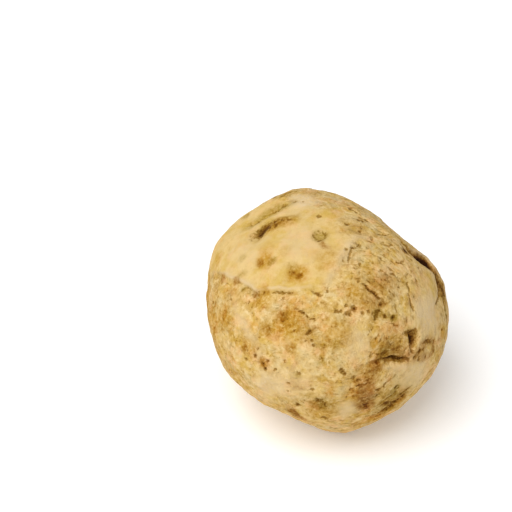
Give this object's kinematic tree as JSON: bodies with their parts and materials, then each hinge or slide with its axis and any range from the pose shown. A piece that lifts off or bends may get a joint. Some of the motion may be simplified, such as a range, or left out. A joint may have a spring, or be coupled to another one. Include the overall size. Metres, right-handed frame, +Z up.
{
  "type": "white truffle",
  "caption": "Whole white truffle: a knobbly, nearly round fungus with a cleft crown, a side furrow and a small pressed flat it rests on.",
  "frame": {"origin": "middle of the base of the bounding box, on the surface it rests on", "axes": "+Z up; -Y is the front, the side with the long crease and the low hollow; +X is to the right when seen from the front, the side with the furrow"},
  "size_m": [0.0588, 0.0602, 0.0519],
  "materials": {
    "truffle_skin": "matte, mottled cream to ochre skin with olive-brown scars and soil left in its folds"
  },
  "bodies": {
    "root": {"truffle": "truffle_skin"}
  },
  "joints": []
}
